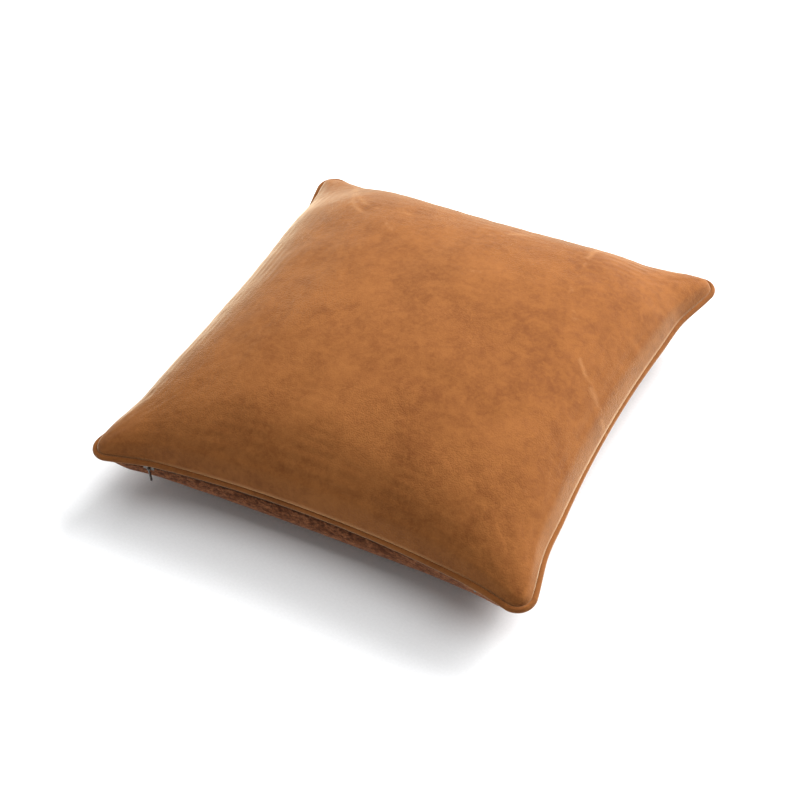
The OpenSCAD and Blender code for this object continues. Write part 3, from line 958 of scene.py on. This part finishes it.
def makePad():
    skins = {True: gridTree(frontGrid), False: gridTree(backGrid)}
    walls = {True: pillow["leather"] + pad["gap"], False: pillow["velvet"] + pad["gap"]}
    u, v = gridUV(pad["cells"])
    pieces = []
    for up, name, nodeName in ((True, "tickingUpper", "pad_ticking_upper"),
                               (False, "tickingLower", "pad_ticking_lower")):
        points = padGrid(u, v, pad["inset"], skins[up], walls[up], up)
        piece = gridPiece(points, u, v, up)
        turnIn(piece, [(-pad["turnIn"], 0)], pad["inset"])
        thicken(piece, pad["ticking"])
        finishPiece(piece, name, [nodeName], "cover", "ticking")
        pieces.append(piece)
    u, v = gridUV(pad["fillCells"])
    inset = pad["inset"] + pad["turnIn"] + pad["ticking"]
    halves = []
    for up in (True, False):
        wall = walls[up] + 2 * pad["ticking"]
        halves.append(gridPiece(padGrid(u, v, inset, skins[up], wall, up), u, v, up))
    halves[0].select_set(True)
    bpy.context.view_layer.objects.active = halves[0]
    bpy.ops.object.join()
    filling = bpy.context.object
    mergeDoubles(filling)
    subdivide(filling, 1)
    applyAll(filling)
    bpy.ops.object.shade_smooth()
    finishPiece(filling, "featherFilling", ["pad_filling"], "cover", "filling")
    return pieces, filling


tickings, filling = makePad()
print("pad made")


# ---- care label, inside the back panel beside the zip ----
label = {
    "width": 0.030,
    "length": 0.040,
    "thickness": 0.0004,
    "columns": 6,
    "rows": 12,
    "clear": 0.0021,          # room between the label and the velvet
}


def makeLabel():
    low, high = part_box("care_label")
    middle = (low.x + high.x) / 2
    column = int(np.argmin(abs(backGrid[0, :, 0] - middle)))
    line = backGrid[:, column, :]
    run = np.concatenate([[0], np.cumsum(np.linalg.norm(np.diff(line, axis=0), axis=1))])
    first = pillow["velvet"] + label["clear"]
    downs = np.linspace(first, first + label["length"], label["rows"] + 1)
    profile = np.stack([np.interp(downs, run, line[:, k]) for k in range(3)], -1)
    slope = np.gradient(profile, axis=0)
    inward = np.stack([np.zeros(len(slope)), -slope[:, 2], slope[:, 1]], -1)
    inward /= np.linalg.norm(inward, axis=1)[:, None]
    profile = profile + inward * (pillow["velvet"] + label["clear"] / 2)
    across = np.linspace(-0.5, 0.5, label["columns"] + 1) * label["width"]
    bpy.ops.mesh.primitive_grid_add(x_subdivisions=label["columns"], y_subdivisions=label["rows"], size=1)
    piece = bpy.context.object
    writePoints(piece.data, np.array([spot + [x, 0, 0] for spot in profile for x in across]))
    thicken(piece, label["thickness"])
    return finishPiece(piece, "careLabel", ["care_label"], "cover", "label_satin")


careLabel = makeLabel()
print("label made")


# ---- piping: a folded strip of leather spun round the outline ----
welt = {
    "slit": 0.00005,          # half the gap between the two layers of the strip
    "outerPoints": 26,
    "cordPoints": 14,
    "sideSteps": 170,
    "cornerSteps": 18,
    "wave": 0.00010,
    "waveScale": 45.0,
    "joinAngle": -52.0,       # where the strip's ends meet, near the front right corner
    "joinLength": 0.011,
    "joinSwell": 0.10,
    "round": (0.85, 1.20),    # a point is on the round part if it lies this far from the middle
}


def weltSection():
    # distance out from the seam and height, round the strip: outside, flange, then the cord's hole
    flange = frontRim - seamHeight
    cordRadius = (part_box("welt_cord")[1].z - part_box("welt_cord")[0].z) / 2
    openOut = math.asin(flange / weltRadius)
    openIn = math.asin(welt["slit"] / cordRadius)
    outer = np.linspace(openOut - math.pi, math.pi - openOut, welt["outerPoints"])
    inner = np.linspace(math.pi - openIn, openIn - math.pi, welt["cordPoints"])
    width = pillow["allowance"]
    points = [(-width, -flange)]
    points += [(weltRadius * (1 + math.cos(a)), weltRadius * math.sin(a)) for a in outer]
    points += [(-width, flange), (-width, welt["slit"])]
    points += [(weltRadius + cordRadius * math.cos(a), cordRadius * math.sin(a)) for a in inner]
    return points + [(-width, -welt["slit"])]


def spunRound(name, section):
    # the section starts where the +X side leaves the front corner, and spins anticlockwise
    radius, centre, corner, cornerCentre, meet = outlineAt(0.0)
    outward = Vector((math.cos(-meet), math.sin(-meet), 0))
    foot = Vector((centre - radius * math.cos(meet), -radius * math.sin(meet), seamHeight))
    spots = [foot + outward * out + Vector((0, 0, up)) for out, up in section]
    count = len(spots)
    piece = linkedMesh(name, spots, [(i, (i + 1) % count) for i in range(count)], [])
    editAll(piece)
    for quarter in range(4):
        turn = Matrix.Rotation(quarter * math.pi / 2, 3, "Z")
        bpy.ops.mesh.spin(steps=welt["sideSteps"], angle=2 * meet, axis=(0, 0, 1),
                          center=turn @ Vector((centre, 0, 0)))
        bpy.ops.mesh.spin(steps=welt["cornerSteps"], angle=-math.pi / 2 - 2 * meet, axis=(0, 0, 1),
                          center=turn @ Vector((cornerCentre, cornerCentre, 0)))
    bpy.ops.object.mode_set(mode="OBJECT")
    mergeDoubles(piece, faceOut=True)
    bpy.ops.object.shade_smooth()
    return piece


def followEdge(piece, co):
    # the whole section moves with the seam beside it
    middle = np.column_stack([nearestOutline(co[:, :2], 0.0), co[:, 2]])
    writePoints(piece.data, co + drawnOut(middle) - middle)


def makeWelt():
    piece = spunRound("pipingStrip", weltSection())
    # the strip is a little uneven, and its ends overlap in a short join
    co = readPoints(piece.data)
    angle = np.arctan2(co[:, 1], co[:, 0])
    away = np.abs(angle - math.radians(welt["joinAngle"])) * np.hypot(co[:, 0], co[:, 1])
    swell = 1 + welt["joinSwell"] * (1 - smooth(away / welt["joinLength"]))
    middle = nearestOutline(co[:, :2], weltRadius)
    offset = co - np.column_stack([middle, np.full(len(co), seamHeight)])
    size = np.linalg.norm(offset, axis=1)
    onRound = (size < weltRadius * welt["round"][1]) & (size > weltRadius * welt["round"][0])
    wave = welt["wave"] * softNoise(co, welt["waveScale"], 5) / weltRadius
    factor = np.where(onRound, swell + wave, 1.0)
    followEdge(piece, co - offset + offset * factor[:, None])
    return finishPiece(piece, "pipingStrip", ["welt_cover"], "cover", "piping_leather")


def makeCord():
    radius = (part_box("welt_cord")[1].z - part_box("welt_cord")[0].z) / 2
    turns = [2 * math.pi * k / welt["cordPoints"] for k in range(welt["cordPoints"])]
    section = [(weltRadius + radius * math.cos(a), radius * math.sin(a)) for a in turns]
    piece = spunRound("pipingCord", section)
    followEdge(piece, readPoints(piece.data))
    return finishPiece(piece, "pipingCord", ["welt_cord"], "cover", "cotton_cord")


def nearestOutline(xy, out):
    # nearest point of the outline that lies a distance outside the seam
    radius, centre, corner, cornerCentre, meet = outlineAt(-out)
    quarter = np.round(np.arctan2(xy[:, 1], xy[:, 0]) / (math.pi / 2))
    c, s = np.cos(quarter * math.pi / 2), np.sin(quarter * math.pi / 2)
    x, y = xy[:, 0] * c + xy[:, 1] * s, xy[:, 1] * c - xy[:, 0] * s
    angle = np.arctan2(y, centre - x)
    onSide = np.abs(angle) <= meet
    sx, sy = centre - radius * np.cos(angle), radius * np.sin(angle)
    bend = np.arctan2(np.abs(y) - cornerCentre, x - cornerCentre)
    kx, ky = cornerCentre + corner * np.cos(bend), cornerCentre + corner * np.sin(bend)
    px, py = np.where(onSide, sx, kx), np.where(onSide, sy, np.copysign(ky, y))
    return np.column_stack([px * c - py * s, px * s + py * c])


pipingStrip = makeWelt()
pipingCord = makeCord()
print("piping made:", len(pipingStrip.data.polygons), "faces")


# ---- zip: coils, slider and pull tab ----
coil = {
    "pitch": 0.0014,
    "wire": 0.00030,          # radius of the nylon
    "segments": 10,
    "sides": 5,
    "width": 0.0032,          # across the closed row
    "rowIn": 0.001,           # the row lies this far inside the seam
}
edges = {"slider": 0.00018, "tab": 0.00022, "sharp": 35, "flat": 4, "smooth": 40}


def makeCoil(name, nodeName, upper):
    # one loop of the coil, copied along the curved side
    low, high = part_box(nodeName)
    radius, centre, _, _, _ = outlineAt(0.0)
    rowRadius = radius - coil["rowIn"]
    width = coil["width"]
    tall = high.z - low.z
    bpy.ops.mesh.primitive_torus_add(major_segments=coil["segments"], minor_segments=coil["sides"],
                                     major_radius=tall / 2, minor_radius=coil["wire"])
    loop = bpy.context.object
    editAll(loop)
    bpy.ops.transform.resize(value=((width - 2 * coil["wire"]) / tall, (tall - 2 * coil["wire"]) / tall, 1))
    bpy.ops.object.mode_set(mode="OBJECT")
    one = readPoints(loop.data)
    faces = [tuple(p.vertices) for p in loop.data.polygons]
    bpy.data.objects.remove(loop)
    # in the loop, X runs across the row and Y up: lay it in the plane across the teeth
    half = math.asin((high.x - low.x) / 2 / rowRadius)
    count = int(2 * half * rowRadius / coil["pitch"])
    points, quads = [], []
    for k in range(count):
        at = math.pi / 2 - half + (k + (0.25 if upper else 0.75)) * 2 * half / count
        out = np.array([math.cos(at), math.sin(at), 0.0])
        side = np.array([-math.sin(at), math.cos(at), 0.0])
        middle = np.array([0, -centre, (low.z + high.z) / 2]) + out * rowRadius
        start = len(points) * len(one)
        points.append(middle + one[:, :1] * out + one[:, 2:3] * side + one[:, 1:2] * [0, 0, 1])
        quads += [tuple(start + i for i in f) for f in faces]
    piece = linkedMesh(name, np.concatenate(points).tolist(), [], quads)
    editAll(piece)
    bpy.ops.mesh.normals_make_consistent(inside=False)
    bpy.ops.object.mode_set(mode="OBJECT")
    bpy.ops.object.shade_smooth()
    return finishPiece(piece, name, [nodeName], "cover", "zip_teeth")


def softEdged(name, nodeName, body, width):
    # a copy of a cut metal part, merged and with its edges tumbled round
    piece = frame["nodes"][nodeName].copy()
    piece.data = piece.data.copy()
    for key in list(piece.keys()):
        if key.startswith("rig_"):
            del piece[key]
    piece.parent = None
    bpy.context.scene.collection.objects.link(piece)
    editAll(piece)
    bpy.ops.mesh.remove_doubles(threshold=1e-6)
    bpy.ops.mesh.dissolve_limited(angle_limit=math.radians(edges["flat"]))
    bpy.ops.object.mode_set(mode="OBJECT")
    bevel = piece.modifiers.new("tumbled", "BEVEL")
    bevel.width = width
    bevel.segments = 2
    bevel.limit_method = "ANGLE"
    bevel.angle_limit = math.radians(edges["sharp"])
    applyAll(piece)
    bpy.ops.object.shade_smooth_by_angle(angle=math.radians(edges["smooth"]))
    return finishPiece(piece, name, [nodeName], body, "zip_metal")


coilUpper = makeCoil("coilUpper", "zip_teeth_upper", True)
coilLower = makeCoil("coilLower", "zip_teeth_lower", False)
sliderBody = softEdged("sliderBody", "zip_slider", "slider", edges["slider"])
pullTab = softEdged("pullTab", "pull_tab", "pull", edges["tab"])
print("zip made:", len(coilUpper.data.polygons) + len(coilLower.data.polygons), "coil faces")


# ---- studio ----
studio = {
    "world": 0.33,
    "key": 290.0,
    "keySize": 2.6,
    "keyAt": (1.30, 2.75, 2.15),
    "top": 100.0,
    "topSize": 4.0,
    "topAt": (0.0, 0.7, 3.1),
    "floor": 14,
}


def aimedLight(name, place, size, power):
    bpy.ops.object.light_add(type="AREA", location=place)
    lamp = bpy.context.object
    lamp.name = name
    lamp.data.size = size
    lamp.data.energy = power
    lamp.rotation_euler = (-Vector(place)).to_track_quat("-Z", "Y").to_euler()


def makeStudio():
    bpy.ops.mesh.primitive_plane_add(size=studio["floor"])
    floor = bpy.context.object
    floor.name = "studioFloor"
    material, tree, shader, coords = startMaterial("paperFloor")
    tooth = node(tree, "ShaderNodeTexNoise", Vector=coords, Scale=400.0, Detail=2.0)
    paper = ramp(tree, tooth.outputs[0], 0.3, 0.7, (0.89, 0.90, 0.91, 1), (0.92, 0.93, 0.94, 1))
    setInputs(tree, shader, {"Base Color": paper, "Roughness": 0.9, "Specular IOR Level": 0.1})
    floor.data.materials.append(material)
    world = bpy.data.worlds.new("studioWorld")
    bpy.context.scene.world = world
    world.use_nodes = True
    sky = world.node_tree.nodes["Background"]
    sky.inputs[0].default_value = white
    sky.inputs[1].default_value = studio["world"]
    aimedLight("keyLight", studio["keyAt"], studio["keySize"], studio["key"])
    aimedLight("topLight", studio["topAt"], studio["topSize"], studio["top"])
    bpy.context.scene.view_settings.view_transform = "Standard"
    bpy.context.scene.view_settings.look = "None"


makeStudio()
print("studio lit")
